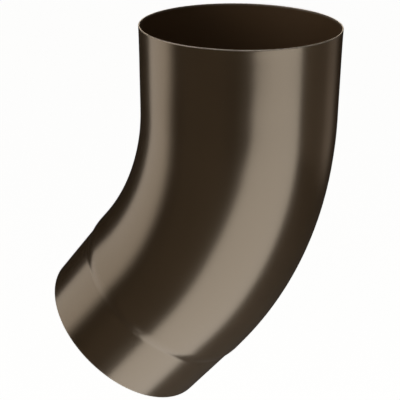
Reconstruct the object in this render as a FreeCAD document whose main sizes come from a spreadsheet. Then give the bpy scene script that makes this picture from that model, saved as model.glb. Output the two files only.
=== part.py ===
import FreeCAD, Part
import Sketcher
import os

# A round downspout elbow, drawn in one piece from coated sheet steel, in millimetres.
# A socket above takes the pipe that comes down, and a neck below goes into the next pipe.
# The origin is the middle of the socket's seat, where the pipe above ends, with +Z up.
# The bend lies in the XZ plane and turns the run of pipe from -Z towards -X.

SIZES = {
    "tube_diameter": 100.0,     # outside of the bent tube, and of the pipes that it joins
    "wall": 0.7,                # sheet with its coating
    "bend_radius": 150.0,       # to the middle line of the tube
    "bend_angle": 40.0,         # degrees that the run of pipe turns
    "socket_clearance": 0.3,    # bore of the socket, less the pipe in it
    "socket_run": 1.2,          # straight tube between the bend and the cone to the socket
    "socket_cone": 19.0,        # height over which the tube widens to the socket
    "socket_seat": 14.0,        # height of the socket's straight wall
    "lip_height": 9.5,          # height over which the mouth flares
    "lip_flare": 0.7,           # how far the mouth stands out from the straight wall
    "neck_clearance": 1.4,      # bore of the next pipe, less the neck in it
    "neck_run": 5.5,            # straight tube between the bend and the step to the neck
    "neck_step": 9.0,           # length of the step from the tube down to the neck
    "neck_seat": 15.5,          # length of the neck's straight wall
    "nose_length": 16.0,        # length over which the neck's end draws in
    "nose_taper": 0.6,          # how far the end stands in from the straight wall
}

# Radii of the outside, worked out from the sizes. Each inside is one wall smaller.
TUBE_RADIUS = "sizes.tube_diameter / 2"
SOCKET_RADIUS = "(sizes.tube_diameter + sizes.socket_clearance) / 2 + sizes.wall"
MOUTH_RADIUS = SOCKET_RADIUS + " + sizes.lip_flare"
NECK_RADIUS = "(sizes.tube_diameter - sizes.neck_clearance) / 2 - sizes.wall"
NOSE_RADIUS = NECK_RADIUS + " - sizes.nose_taper"

# How a constraint names the points of a curve
START, STOP, MIDDLE = range(1, 4)


def make_sheet(doc):
    """The spreadsheet that holds the driving sizes, one named cell each."""
    sheet = doc.addObject("Spreadsheet::Sheet", "sizes")
    for row, (name, value) in enumerate(SIZES.items(), 1):
        sheet.set(f"A{row}", name)
        sheet.set(f"B{row}", str(value))
        sheet.setAlias(f"B{row}", name)
    doc.recompute()
    return sheet


def make_sketch(body, name, role, x="0", y="0", z="0", turn="0"):
    """A sketch on one of the body's own planes, moved and turned in that plane's frame."""
    sketch = body.newObject("Sketcher::SketchObject", name)
    plane = next(f for f in body.Origin.OriginFeatures if f.Role == role)
    sketch.AttachmentSupport = [(plane, "")]
    sketch.MapMode = "FlatFace"
    upright = FreeCAD.Rotation(FreeCAD.Vector(0, 0, 1), 1)
    sketch.AttachmentOffset = FreeCAD.Placement(FreeCAD.Vector(), upright)
    for path, value in (("Base.x", x), ("Base.y", y), ("Base.z", z), ("Rotation.Angle", turn)):
        sketch.setExpression("AttachmentOffset." + path, value)
    return sketch


def number(sketch, expression):
    """What an expression on the sizes comes to, used only for where a line is first drawn."""
    return float(sketch.evalExpression(expression))


def set_size(sketch, name, kind, where, expression):
    """A named dimension of the sketch that follows an expression on the sizes."""
    at = sketch.addConstraint(Sketcher.Constraint(kind, *where, number(sketch, expression)))
    sketch.renameConstraint(at, name)
    sketch.setExpression("Constraints." + name, expression)


def set_distance(sketch, name, kind, spot, expression):
    """A named distance from the sketch's origin, which is point 1 of curve -1, to a spot."""
    set_size(sketch, name, kind, (-1, 1, *spot), expression)


def hold_level(sketch, spot):
    """Keep a spot level with the sketch's origin."""
    sketch.addConstraint(Sketcher.Constraint("Horizontal", -1, 1, *spot))


def end_at(sketch, curve, point):
    """Which end of a curve lies at a point."""
    return min((START, STOP), key=lambda end: sketch.getPoint(curve, end).distanceToPoint(point))


def join(sketch, kind, point, first, second):
    """Join two curves of the section at the point where both end."""
    ends = (first, end_at(sketch, first, point), second, end_at(sketch, second, point))
    sketch.addConstraint(Sketcher.Constraint(kind, *ends))


def draw_line(sketch, start, stop):
    """A straight line of the section."""
    return sketch.addGeometry(Part.LineSegment(start, stop), False)


def draw_upright_arc(sketch, start, stop):
    """An arc that is upright at its start and passes through its stop."""
    out, up = stop.x - start.x, stop.y - start.y
    radius = (out * out + up * up) / (2 * out)
    centre = start + FreeCAD.Vector(radius, 0, 0)
    towards = (start + stop) / 2 - centre
    bulge = centre + towards.normalize() * abs(radius)
    return sketch.addGeometry(Part.Arc(start, bulge, stop), False)


def draw_side(sketch, side, radii, heights, pressed):
    """One face of the wall: a straight run, a change of radius, a straight seat and a conical end.

    Radii are those of the tube, of the seat and of the end, and heights those of the run's end,
    the seat's start and end, and the end itself, all as expressions on the sizes.
    A pressed change of radius is an S of two equal arcs, and any other is a plain cone.
    Returns the side's first and last points, as the curve and the end that each lies on.
    """
    tube, seat, end = (number(sketch, radius) for radius in radii)
    run_top, seat_start, seat_stop, end_top = (number(sketch, height) for height in heights)
    spots = ((tube, 0), (tube, run_top), (seat, seat_start), (seat, seat_stop), (end, end_top))
    foot, run_end, seat_foot, seat_end, tip = (FreeCAD.Vector(x, y, 0) for x, y in spots)

    run = draw_line(sketch, foot, run_end)
    seat_wall = draw_line(sketch, seat_foot, seat_end)
    end_cone = draw_line(sketch, seat_end, tip)
    if pressed:
        middle = (run_end + seat_foot) / 2
        lower = draw_upright_arc(sketch, run_end, middle)
        upper = draw_upright_arc(sketch, seat_foot, middle)
        sketch.addConstraint(Sketcher.Constraint("Equal", lower, upper))
        join(sketch, "Tangent", run_end, run, lower)
        join(sketch, "Tangent", middle, lower, upper)
        join(sketch, "Tangent", seat_foot, upper, seat_wall)
    else:
        cone = draw_line(sketch, run_end, seat_foot)
        join(sketch, "Coincident", run_end, run, cone)
        join(sketch, "Coincident", seat_foot, cone, seat_wall)
    join(sketch, "Coincident", seat_end, seat_wall, end_cone)
    sketch.addConstraint(Sketcher.Constraint("Vertical", run))
    sketch.addConstraint(Sketcher.Constraint("Vertical", seat_wall))
    hold_level(sketch, (run, START))

    widths = ((run, START), (seat_wall, START), (end_cone, STOP))
    for spot, expression, name in zip(widths, radii, ("tube", "seat", "end")):
        set_distance(sketch, f"{side}_{name}_radius", "DistanceX", spot, expression)
    levels = ((run, STOP), (seat_wall, START), (seat_wall, STOP), (end_cone, STOP))
    for spot, expression, name in zip(levels, heights, ("run", "seat_start", "seat_stop", "end")):
        set_distance(sketch, f"{side}_{name}_height", "DistanceY", spot, expression)
    return (run, START), (end_cone, STOP)


def draw_ring_wall(sketch, radii, heights, pressed=False):
    """The closed section of the wall at one end of the elbow, to be turned about the vertical axis."""
    outer = draw_side(sketch, "outer", radii, heights, pressed)
    inner = draw_side(sketch, "inner", [f"{radius} - sizes.wall" for radius in radii], heights, pressed)
    for one, other in zip(outer, inner):
        edge = draw_line(sketch, sketch.getPoint(*one), sketch.getPoint(*other))
        sketch.addConstraint(Sketcher.Constraint("Coincident", edge, START, *one))
        sketch.addConstraint(Sketcher.Constraint("Coincident", edge, STOP, *other))


def turn_section(body, name, sketch, angle="360"):
    """The section turned about the sketch's vertical axis."""
    solid = body.newObject("PartDesign::Revolution", name)
    solid.Profile = sketch
    solid.ReferenceAxis = (sketch, ["V_Axis"])
    solid.setExpression("Angle", angle)
    return solid


def make_bend(body, drop):
    """The bent tube: a ring turned about a line beside it, from the top of the bend downwards."""
    ring = make_sketch(body, "bend_ring", "XY_Plane", x="-sizes.bend_radius", z=f"-({drop})")
    centre = FreeCAD.Vector(number(ring, "sizes.bend_radius"), 0, 0)
    for side, radius in (("outer", TUBE_RADIUS), ("inner", TUBE_RADIUS + " - sizes.wall")):
        circle = Part.Circle(centre, FreeCAD.Vector(0, 0, 1), number(ring, radius))
        circle = ring.addGeometry(circle, False)
        hold_level(ring, (circle, MIDDLE))
        set_distance(ring, f"{side}_centre", "DistanceX", (circle, MIDDLE), "sizes.bend_radius")
        set_size(ring, f"{side}_radius", "Radius", (circle,), radius)
    return turn_section(body, "bend", ring, "sizes.bend_angle")


def make_socket(body, drop):
    """The socket above the bend: the tube widens, runs straight for the pipe and flares at its mouth."""
    section = make_sketch(body, "socket_section", "XZ_Plane", y=f"-({drop})")
    seat_stop = f"{drop} + sizes.socket_seat"
    heights = ("sizes.socket_run", drop, seat_stop, f"{seat_stop} + sizes.lip_height")
    draw_ring_wall(section, (TUBE_RADIUS, SOCKET_RADIUS, MOUTH_RADIUS), heights)
    return turn_section(body, "socket", section)


def make_neck(body, drop):
    """The neck below the bend: the tube steps in to fit a pipe, and draws in a little at its end."""
    angle = "sizes.bend_angle * 1 deg"
    end_x = f"-sizes.bend_radius * (1 - cos({angle}))"
    end_z = f"-({drop}) - sizes.bend_radius * sin({angle})"
    section = make_sketch(body, "neck_section", "XZ_Plane", end_x, end_z, turn="180 - sizes.bend_angle")
    seat_start = "sizes.neck_run + sizes.neck_step"
    seat_stop = f"{seat_start} + sizes.neck_seat"
    heights = ("sizes.neck_run", seat_start, seat_stop, f"{seat_stop} + sizes.nose_length")
    draw_ring_wall(section, (TUBE_RADIUS, NECK_RADIUS, NOSE_RADIUS), heights, pressed=True)
    return turn_section(body, "neck", section)


def make_elbow(doc):
    """The elbow, in one piece."""
    body = doc.addObject("PartDesign::Body", "elbow")
    body.Label = "elbow"
    body.Placement = FreeCAD.Placement()
    drop = "sizes.socket_run + sizes.socket_cone"
    make_bend(body, drop)
    make_socket(body, drop)
    body.Tip = make_neck(body, drop)
    return body


def check(doc, parts):
    """Stop if anything failed, if a sketch can still move, or if a part isn't one valid solid."""
    for thing in doc.Objects:
        if {"Invalid", "Error"} & set(thing.State):
            raise RuntimeError(f"{thing.Name} failed: {thing.State}")
        if thing.TypeId == "Sketcher::SketchObject" and not thing.FullyConstrained:
            raise RuntimeError(f"{thing.Name} isn't fully constrained")
    for part in parts:
        shape = part.Shape
        if shape.isNull() or not shape.isValid() or len(shape.Solids) != 1:
            raise RuntimeError(f"{part.Label} is not one valid solid")


def main():
    doc = FreeCAD.newDocument("downspout_elbow")
    make_sheet(doc)
    parts = [make_elbow(doc)]
    doc.recompute()
    check(doc, parts)
    os.makedirs("parts", exist_ok=True)
    for part in parts:
        part.Shape.exportStep(f"parts/{part.Label}.step")
        print(f"{part.Label}: {part.Shape.Volume:.1f} mm3")


main()
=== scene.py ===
import math

import bpy
from mathutils import Matrix, Vector


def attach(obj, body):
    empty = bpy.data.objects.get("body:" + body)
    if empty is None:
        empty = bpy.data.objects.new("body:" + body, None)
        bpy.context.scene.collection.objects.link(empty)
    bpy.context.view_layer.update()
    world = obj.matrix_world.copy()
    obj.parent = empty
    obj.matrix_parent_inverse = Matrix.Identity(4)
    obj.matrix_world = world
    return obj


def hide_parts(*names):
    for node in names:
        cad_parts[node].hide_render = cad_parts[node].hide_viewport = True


# The looks of a round downspout elbow: one drawn piece of steel sheet with a dark brown coat.
# The elbow's own lengths and the camera's place are in millimetres, those of the studio in metres.
MM = 0.001

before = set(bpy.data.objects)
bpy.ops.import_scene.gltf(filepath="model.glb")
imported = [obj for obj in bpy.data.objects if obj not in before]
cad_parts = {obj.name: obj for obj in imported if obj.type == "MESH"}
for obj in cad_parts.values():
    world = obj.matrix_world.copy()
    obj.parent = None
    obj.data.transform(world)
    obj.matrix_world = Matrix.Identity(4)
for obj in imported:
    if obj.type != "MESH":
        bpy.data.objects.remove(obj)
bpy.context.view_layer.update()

# A place along the elbow is its run from the rim: down the socket, round the bend, along the neck.
MOUTH = 23.5                      # height of the rim over the origin
BEND_START = 43.7                 # run at which the bend begins
BEND_RADIUS = 150.0
BEND_ANGLE = math.radians(40)
BEND_END = BEND_START + BEND_RADIUS * BEND_ANGLE
STEP_START, STEP_END = BEND_END + 5.0, BEND_END + 13.0
END = BEND_END + 46.0

# The wall: a flared socket that fades into the tube, a pressed step in, and a slightly tapered neck.
TUBE, NOSE = 50.0, 48.0           # outside radius of the tube, and of the neck's very end
SOCKET = ((0, 51.55), (9.5, 51.10), (23.5, 50.80), (42.5, 50.25), (62.0, TUBE))     # runs and radii
DROP = 0.95                       # how far the step goes in
TURN_BACK = 0.75                  # share of the step at which it turns back
SOFTEST, CRISPEST = 9.0, 0.8      # reach over which a corner is drawn soft: in the socket, at the step
CRISPER = 0.5                     # loss of that reach for each millimetre into the bend
WALL = 0.7
EDGE = 0.30                       # rounding of the sheared edges
WORN = 0.5                        # how far from a sheared edge the coat is worn

# The mesh: its points round the tube, and the spacing of its rings up to each run from the rim.
AROUND = 224
SPACINGS = ((3, 0.45), (BEND_START, 1.6), (STEP_START - 1, 2.4), (STEP_END + 1, 0.3), (END - 3, 1.8),
            (END - EDGE, 0.45))

# The coat: its colours, and its gloss. The lining is the inner face, coated in the same brown.
COAT_DARK, COAT_LIGHT = (0.039, 0.0240, 0.0116, 1), (0.043, 0.0262, 0.0126, 1)
# The lining's colour is the coat's brown made over twice as light, as painted light inside the tube.
LINING_WITH_PAINTED_LIGHT = (0.088, 0.045, 0.017, 1)
BARE_STEEL = (0.72, 0.64, 0.54, 1)
COAT_INDEX, COAT_TINT = 2.2, (1.0, 0.84, 0.65, 1)
SHINE, LINING_SHINE = 0.5, 0.17
PATCH_ROUGHNESS, DRAW_ROUGHNESS = (0.205, 0.235), (0.195, 0.25)
DRAW_IN_ROUGHNESS, DRAW_IN_BUMP = 0.3, 0.06           # share of the draw's marks in each
LINING_ROUGHNESS, EDGE_ROUGHNESS = 0.75, 0.45
BUMP_STRENGTH, BUMP_DEPTH = 0.12, 0.00012             # the depth in metres

# The surroundings: pale where the camera sees them, and a dim room where the coat mirrors them.
PALE = (0.97, 0.97, 0.965, 1)
DIM, DIM_STRENGTH = (1, 0.80, 0.62, 1), 0.013
BEHIND_FROM, BEHIND_FULL = 0.992, 0.998     # cosines of 7 and 4 degrees from straight behind the elbow
FLOOR_HEIGHT, FLOOR_SIZE = -1.3, 24
FLOOR_DARK, FLOOR_LIGHT = (0.80, 0.80, 0.79, 1), (0.84, 0.84, 0.83, 1)
WARM = (1, 0.84, 0.70)
RIGHT_WAY, RIGHT_DISTANCE, RIGHT_UP = (0.539, -0.331, -0.774), 0.80, (0.7725, 0.0087, 0.635)

# The camera: where it stands, the way it looks, and its right and up.
STAND = (398.729, -807.707, 234.038)
LOOK = (-0.43762, 0.84063, -0.3191)
CAMERA_RIGHT, CAMERA_UP = (0.88492, 0.46556, 0.01288), (-0.15939, 0.27674, 0.94763)
LENS, SENSOR = 165.21, 36.0
NEAREST, FARTHEST = 0.05, 60                # what the camera sees lies between, in metres


def place(run):
    """Middle of the tube, and its direction towards the bend's outside, at a run from the rim."""
    if run < BEND_START:
        return Vector((0, 0, MOUTH - run)), Vector((1, 0, 0))
    angle = min((run - BEND_START) / BEND_RADIUS, BEND_ANGLE)
    middle = Vector((BEND_RADIUS * (math.cos(angle) - 1), 0,
                     MOUTH - BEND_START - BEND_RADIUS * math.sin(angle)))
    onward = Vector((-math.sin(angle), 0, -math.cos(angle)))
    outward = Vector((math.cos(angle), 0, -math.sin(angle)))
    return middle + onward * max(0.0, run - BEND_END), outward


def pressed_step(share):
    """From 0 to 1 over the step: it turns in slowly, and back shortly before the neck."""
    if share < TURN_BACK:
        return share ** 2 / TURN_BACK
    return 1 - (1 - share) ** 2 / (1 - TURN_BACK)


def outside(run):
    """Radius of the outside of the wall at a run from the rim, with sharp corners."""
    if run >= STEP_END:
        return NOSE + (TUBE - NOSE - DROP) * (END - run) / (END - STEP_END)
    if run >= STEP_START:
        return TUBE - DROP * pressed_step((run - STEP_START) / (STEP_END - STEP_START))
    for (above, radius_above), (below, radius_below) in zip(SOCKET, SOCKET[1:]):
        if run <= below:
            return radius_above + (radius_below - radius_above) * (run - above) / (below - above)
    return TUBE


def eased(run):
    """The outside with its corners drawn soft, as a press leaves them, and softest in the socket."""
    reach = min(SOFTEST, max(CRISPEST, SOFTEST - CRISPER * (run - BEND_START)), run, END - run)
    each_way = 8
    samples = [outside(run + reach * k / each_way) for k in range(-each_way, each_way + 1)]
    return sum(samples) / len(samples)


def rings():
    """The runs of the rings, closest together at the sheared edges and over the step."""
    found, start = [EDGE], EDGE
    for stop, spacing in SPACINGS:
        count = max(1, round((stop - start) / spacing))
        found += [start + (stop - start) * k / count for k in range(1, count + 1)]
        start = stop
    return found


def wall_section():
    """The wall's closed section as (run, radius, wear, side), with side 0 outside and 1 inside."""
    def wear(run):
        return max(0.0, 1 - min(run, END - run) / WORN)

    def rounding(run, radius, start):
        """A quarter turn on from a start in degrees, about a middle at this run and radius."""
        turns = [math.radians(start + 90 * k / 4) for k in range(1, 4)]
        return [(run - EDGE * math.cos(a), radius + EDGE * math.sin(a), 1.0, 0.5) for a in turns]

    def sheared(run, inward, middle, half, start):
        """The cut across the sheet: a rounding, a narrow flat at this run, and a rounding."""
        flat = [(run, middle + half, 1.0, 0.5), (run, middle - half, 1.0, 0.5)]
        return (rounding(inward, middle + half, start) + flat
                + rounding(inward, middle - half, (start + 90) % 360))

    outer = rings()
    inner = reversed(outer[::2] + outer[-1:])
    out = [(run, eased(run), wear(run), 0.0) for run in outer]
    back = [(run, eased(run) - WALL, wear(run), 1.0) for run in inner]
    half = WALL / 2 - EDGE
    end = sheared(END, END - EDGE, out[-1][1] - WALL / 2, half, 90)
    rim = sheared(0, EDGE, out[0][1] - WALL / 2, -half, 270)
    return out + end + back + rim


def make_elbow():
    section = wall_section()
    points, edge, inside = [], [], []
    for run, radius, wear, side in section:
        middle, outward = place(run)
        for k in range(AROUND):
            a = 2 * math.pi * k / AROUND
            across = outward * math.cos(a) + Vector((0, 1, 0)) * math.sin(a)
            points.append((middle + across * radius) * MM)
            edge.append(wear)
            inside.append(side)

    length = [0.0]
    for a, b in zip(section, section[1:] + section[:1]):
        length.append(length[-1] + math.dist(a[:2], b[:2]))
    faces, uvs = [], []
    for i in range(len(section)):
        j = (i + 1) % len(section)
        v0, v1 = length[i] / length[-1], length[i + 1] / length[-1]
        for k in range(AROUND):
            m = (k + 1) % AROUND
            faces.append((i * AROUND + k, j * AROUND + k, j * AROUND + m, i * AROUND + m))
            u0, u1 = k / AROUND, (k + 1) / AROUND
            uvs += [(u0, v0), (u0, v1), (u1, v1), (u1, v0)]

    mesh = bpy.data.meshes.new("elbow_coated")
    mesh.from_pydata(points, [], faces)
    layer = mesh.uv_layers.new(name="UVMap")
    for loop, uv in zip(layer.data, uvs):
        loop.uv = uv
    for name, values in (("edge", edge), ("inside", inside)):
        mesh.attributes.new(name, "FLOAT", "POINT").data.foreach_set("value", values)
    mesh.polygons.foreach_set("use_smooth", [True] * len(mesh.polygons))
    mesh.validate()
    mesh.update()
    elbow = bpy.data.objects.new("elbow_coated", mesh)
    bpy.context.scene.collection.objects.link(elbow)
    return elbow


def new_material(name):
    material = bpy.data.materials.new(name)
    material.use_nodes = True
    nodes, links = material.node_tree.nodes, material.node_tree.links
    return material, nodes, links, nodes["Principled BSDF"]


def joined(nodes, links, operation, a, b):
    """The result of one sum on two sockets."""
    node = nodes.new("ShaderNodeMath")
    node.operation = operation
    links.new(a, node.inputs[0])
    links.new(b, node.inputs[1])
    return node.outputs[0]


def brown_coat():
    """A dark brown semi-gloss coat: fine orange peel, a faint draw of the sheet, and bare-worn edges."""
    material, nodes, links, shader = new_material("brown_coating")
    shader.inputs["IOR"].default_value = COAT_INDEX
    shader.inputs["Specular Tint"].default_value = COAT_TINT

    def scaled(source, scale):
        node = nodes.new("ShaderNodeMapping")
        node.inputs["Scale"].default_value = scale
        links.new(source, node.inputs["Vector"])
        return node.outputs["Vector"]

    where = nodes.new("ShaderNodeTexCoord")
    in_millimetres = scaled(where.outputs["Object"], (1000, 1000, 1000))
    along_the_draw = scaled(where.outputs["UV"], (150, 6, 1))

    def noise(scale, detail, rough, source=in_millimetres):
        node = nodes.new("ShaderNodeTexNoise")
        node.inputs["Scale"].default_value = scale
        node.inputs["Detail"].default_value = detail
        node.inputs["Roughness"].default_value = rough
        links.new(source, node.inputs["Vector"])
        return node.outputs["Fac"]

    def between(value, low, high, from_low=0.3, from_high=0.7):
        node = nodes.new("ShaderNodeMapRange")
        node.inputs["From Min"].default_value = from_low
        node.inputs["From Max"].default_value = from_high
        node.inputs["To Min"].default_value = low
        node.inputs["To Max"].default_value = high
        links.new(value, node.inputs["Value"])
        return node.outputs["Result"]

    def mix(kind, factor, a, b):
        """A blend of two values or colours, each one a socket or a constant."""
        node = nodes.new("ShaderNodeMix")
        node.data_type = kind
        slots = {"FLOAT": (0, 2, 3, 0), "RGBA": (0, 6, 7, 2)}[kind]     # factor, a, b, and the result
        for slot, value in zip(slots, (factor, a, b)):
            if isinstance(value, (int, float, tuple)):
                node.inputs[slot].default_value = value
            else:
                links.new(value, node.inputs[slot])
        return node.outputs[slots[3]]

    def attribute(name):
        node = nodes.new("ShaderNodeAttribute")
        node.attribute_name = name
        return node.outputs["Fac"]

    peel = noise(0.55, 2, 0.5)              # orange peel, cells of about 2 mm
    cloud = noise(0.035, 3, 0.55)           # slow change of the coat over 30 mm
    draw = noise(1.0, 3, 0.6, along_the_draw)         # marks along the way the tube was drawn
    specks = noise(1.3, 4, 0.7)             # where a sheared edge is bare
    edge, inside = attribute("edge"), attribute("inside")

    bare = mix("FLOAT", between(specks, 0.55, 1.0, 0.42, 0.62), 0.0, edge)
    coat = mix("RGBA", between(cloud, 0, 1), COAT_DARK, COAT_LIGHT)
    # The inner face takes the lighter lining colour: painted light inside the tube.
    coat = mix("RGBA", inside, coat, LINING_WITH_PAINTED_LIGHT)
    gloss = mix("FLOAT", DRAW_IN_ROUGHNESS, between(cloud, *PATCH_ROUGHNESS), between(draw, *DRAW_ROUGHNESS))
    gloss = mix("FLOAT", inside, gloss, LINING_ROUGHNESS)
    links.new(bare, shader.inputs["Metallic"])
    links.new(mix("FLOAT", inside, SHINE, LINING_SHINE), shader.inputs["Specular IOR Level"])
    links.new(mix("RGBA", bare, coat, BARE_STEEL), shader.inputs["Base Color"])
    links.new(mix("FLOAT", edge, gloss, EDGE_ROUGHNESS), shader.inputs["Roughness"])

    bump = nodes.new("ShaderNodeBump")
    bump.inputs["Strength"].default_value = BUMP_STRENGTH
    bump.inputs["Distance"].default_value = BUMP_DEPTH
    links.new(mix("FLOAT", DRAW_IN_BUMP, peel, draw), bump.inputs["Height"])
    links.new(bump.outputs["Normal"], shader.inputs["Normal"])
    return material


def shown(nodes, links, spot):
    """1 for the camera's rays, and for a mirrored or passing one that goes off behind the elbow."""
    away = nodes.new("ShaderNodeVectorMath")
    away.operation = "NORMALIZE"
    links.new(spot, away.inputs[0])
    rearward = nodes.new("ShaderNodeVectorMath")
    rearward.operation = "DOT_PRODUCT"
    rearward.inputs[1].default_value = LOOK
    links.new(away.outputs[0], rearward.inputs[0])
    behind = nodes.new("ShaderNodeMapRange")
    behind.inputs["From Min"].default_value = BEHIND_FROM
    behind.inputs["From Max"].default_value = BEHIND_FULL
    links.new(rearward.outputs["Value"], behind.inputs["Value"])
    path = nodes.new("ShaderNodeLightPath")
    kinds = ("Is Camera Ray", "Is Glossy Ray", "Is Transmission Ray")
    seen, mirrored, passed = (path.outputs[kind] for kind in kinds)
    bounced = joined(nodes, links, "MAXIMUM", mirrored, passed)
    bounced = joined(nodes, links, "MULTIPLY", bounced, behind.outputs[0])
    return joined(nodes, links, "MAXIMUM", seen, bounced)


def floor_paper():
    """The pale floor: matt paper with a very slight unevenness."""
    material, nodes, links, shader = new_material("floor_paper")
    shader.inputs["Roughness"].default_value = 0.9
    shader.inputs["Specular IOR Level"].default_value = 0.1
    where = nodes.new("ShaderNodeTexCoord")
    grain = nodes.new("ShaderNodeTexNoise")
    grain.inputs["Scale"].default_value = 6
    ramp = nodes.new("ShaderNodeValToRGB")
    ramp.color_ramp.elements[0].color = FLOOR_DARK
    ramp.color_ramp.elements[1].color = FLOOR_LIGHT
    links.new(where.outputs["Object"], grain.inputs["Vector"])
    links.new(grain.outputs["Fac"], ramp.inputs["Fac"])
    links.new(ramp.outputs["Color"], shader.inputs["Base Color"])
    shader.inputs["Emission Color"].default_value = PALE
    spot = nodes.new("ShaderNodeNewGeometry").outputs["Position"]
    links.new(shown(nodes, links, spot), shader.inputs["Emission Strength"])
    return material


def aimed(direction, upward):
    """Rotation of a thing that looks along its -Z, with its +Y as near as can be to upward."""
    back = -Vector(direction).normalized()
    right = Vector(upward).cross(back).normalized()
    up = back.cross(right)
    return Matrix((right, up, back)).transposed()


def smooth_ramp(nodes, links, value, start, stop):
    node = nodes.new("ShaderNodeMapRange")
    node.interpolation_type = "SMOOTHSTEP"
    node.inputs["From Min"].default_value = start
    node.inputs["From Max"].default_value = stop
    links.new(value, node.inputs["Value"])
    return node.outputs["Result"]


def lamp(name, towards, distance, size, radiance, soft, upward=(0, 0, 1), shift=(0, 0),
         at=(-0.03, 0, -0.08), colour=(1, 1, 1), slants=()):
    """A soft panel of a width and height that stands off in a direction from the elbow and faces it.

    It gets dimmer towards its sides, over soft shares of its width and height, and is moved in its own
    plane by shift. Each slant cuts it off along a line: the light rises from start to stop, in metres
    from the panel's middle, in the direction turned by so many degrees from the panel's own right.
    """
    width, height = size
    data = bpy.data.lights.new(name, "AREA")
    data.shape = "RECTANGLE"
    data.size, data.size_y = width, height
    data.energy = math.pi * width * height * radiance
    data.color = colour
    data.use_nodes = True
    nodes, links = data.node_tree.nodes, data.node_tree.links

    on_panel = nodes.new("ShaderNodeNewGeometry").outputs["Parametric"]
    parts = nodes.new("ShaderNodeSeparateXYZ")
    links.new(on_panel, parts.inputs["Vector"])
    sides = []
    for axis, margin in zip("XY", soft):
        from_side = nodes.new("ShaderNodeMath")
        from_side.operation = "PINGPONG"
        from_side.inputs[1].default_value = 0.5
        links.new(parts.outputs[axis], from_side.inputs[0])
        sides.append(smooth_ramp(nodes, links, from_side.outputs[0], 0.0, margin))
    for turn, start, stop in slants:
        across = Vector((width * math.cos(math.radians(turn)), height * math.sin(math.radians(turn)), 0))
        middle = (across.x + across.y) / 2
        reach = nodes.new("ShaderNodeVectorMath")
        reach.operation = "DOT_PRODUCT"
        reach.inputs[1].default_value = across
        links.new(on_panel, reach.inputs[0])
        sides.append(smooth_ramp(nodes, links, reach.outputs["Value"], middle + start, middle + stop))
    strength = sides[0]
    for side in sides[1:]:
        strength = joined(nodes, links, "MULTIPLY", strength, side)
    links.new(strength, nodes["Emission"].inputs["Strength"])

    panel = bpy.data.objects.new(name, data)
    direction = Vector(towards).normalized()
    turn = aimed(-direction, upward)
    spot = Vector(at) + direction * distance + turn @ Vector((*shift, 0))
    panel.matrix_world = Matrix.Translation(spot) @ turn.to_4x4()
    panel.visible_camera = False
    bpy.context.scene.collection.objects.link(panel)


def backdrop():
    """Pale where the camera sees it, and a dim warm room for the rest."""
    world = bpy.data.worlds.new("studio")
    world.use_nodes = True
    nodes, links = world.node_tree.nodes, world.node_tree.links
    dim, pale = nodes["Background"], nodes.new("ShaderNodeBackground")
    dim.inputs["Color"].default_value, dim.inputs["Strength"].default_value = DIM, DIM_STRENGTH
    pale.inputs["Color"].default_value, pale.inputs["Strength"].default_value = PALE, 1
    blend = nodes.new("ShaderNodeMixShader")
    where = nodes.new("ShaderNodeTexCoord")
    links.new(shown(nodes, links, where.outputs["Generated"]), blend.inputs[0])
    links.new(dim.outputs[0], blend.inputs[1])
    links.new(pale.outputs[0], blend.inputs[2])
    links.new(blend.outputs[0], nodes["World Output"].inputs["Surface"])
    bpy.context.scene.world = world


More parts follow.
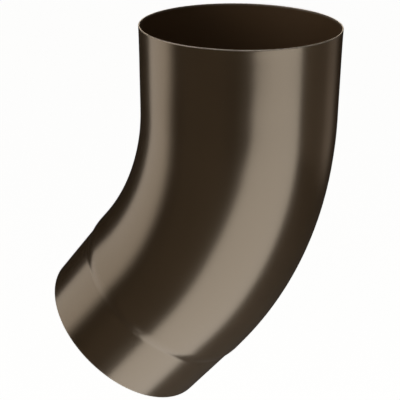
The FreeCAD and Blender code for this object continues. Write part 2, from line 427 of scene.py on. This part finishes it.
def studio():
    bpy.ops.mesh.primitive_plane_add(size=FLOOR_SIZE, location=(0, 0, FLOOR_HEIGHT))
    floor = bpy.context.active_object
    floor.name = "floor"
    floor.data.materials.append(floor_paper())
    backdrop()

    # Two large panels, and a small one at the foot of the first, make the stripes. Their slanted sides
    # follow the stripes along the bend.
    lamp("panel_right", RIGHT_WAY, RIGHT_DISTANCE, size=(1.005, 2.05), radiance=1.83, soft=(0.045, 0.04),
         upward=RIGHT_UP, shift=(-0.0025, -0.005),
         slants=((171.75, -0.401, -0.351), (10.5, -0.5186, -0.4736), (-40, -0.7225, -0.6625)))
    lamp("panel_foot", RIGHT_WAY, RIGHT_DISTANCE, size=(0.20, 0.32), radiance=1.2, soft=(0.3, 0.3),
         upward=RIGHT_UP, shift=(-0.5025, -0.865))
    lamp("panel_left", (-0.974, -0.207, -0.087), 0.95, size=(0.882, 0.75), radiance=1.28, soft=(0.05, 0.1),
         shift=(0.119, -0.045), colour=(1, 0.93, 0.85), slants=((126.9, -0.33, -0.10),))

    # The small and the dim ones light the rim and lift the dark zones.
    lamp("panel_top", (-0.545, -0.724, 0.45), 0.8, size=(0.5, 0.5), radiance=2.3, soft=(0.1, 0.1))
    lamp("panel_front", (0.733, -0.533, 0.45), 0.8, size=(0.5, 0.5), radiance=0.7, soft=(0.1, 0.1))
    lamp("panel_over", (0, 0, 1), 1.0, size=(0.6, 0.6), radiance=1.6, soft=(0.1, 0.1), upward=(0, 1, 0))
    lamp("panel_rear", (0.43, 0.86, -0.276), 1.5, size=(0.95, 0.5), radiance=0.19, soft=(0.4, 0.35),
         colour=WARM)
    lamp("panel_side", (0.71, 0.64, -0.276), 1.5, size=(2.0, 0.5), radiance=0.13, soft=(0.2, 0.35),
         colour=WARM)
    lamp("panel_rim", (-0.43, 0.844, 0.319), 1.0, size=(0.6, 0.35), radiance=3.0, soft=(0.2, 0.2),
         at=(0, 0, 0.02))
    lamp("panel_low", (-0.205, -0.887, -0.415), 1.2, size=(1.5, 0.85), radiance=0.068, soft=(0.25, 0.3),
         colour=(1, 0.82, 0.64))


def camera():
    data = bpy.data.cameras.new("camera")
    data.lens, data.sensor_width = LENS, SENSOR
    data.clip_start, data.clip_end = NEAREST, FARTHEST
    eye = bpy.data.objects.new("camera", data)
    turn = Matrix((CAMERA_RIGHT, CAMERA_UP, [-c for c in LOOK])).transposed()
    eye.matrix_world = Matrix.Translation(Vector(STAND) * MM) @ turn.to_4x4()
    bpy.context.scene.collection.objects.link(eye)
    bpy.context.scene.camera = eye


elbow = make_elbow()
elbow.data.materials.append(brown_coat())
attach(elbow, "root")
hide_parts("elbow")
studio()
camera()
bpy.context.scene.view_settings.view_transform = "Standard"
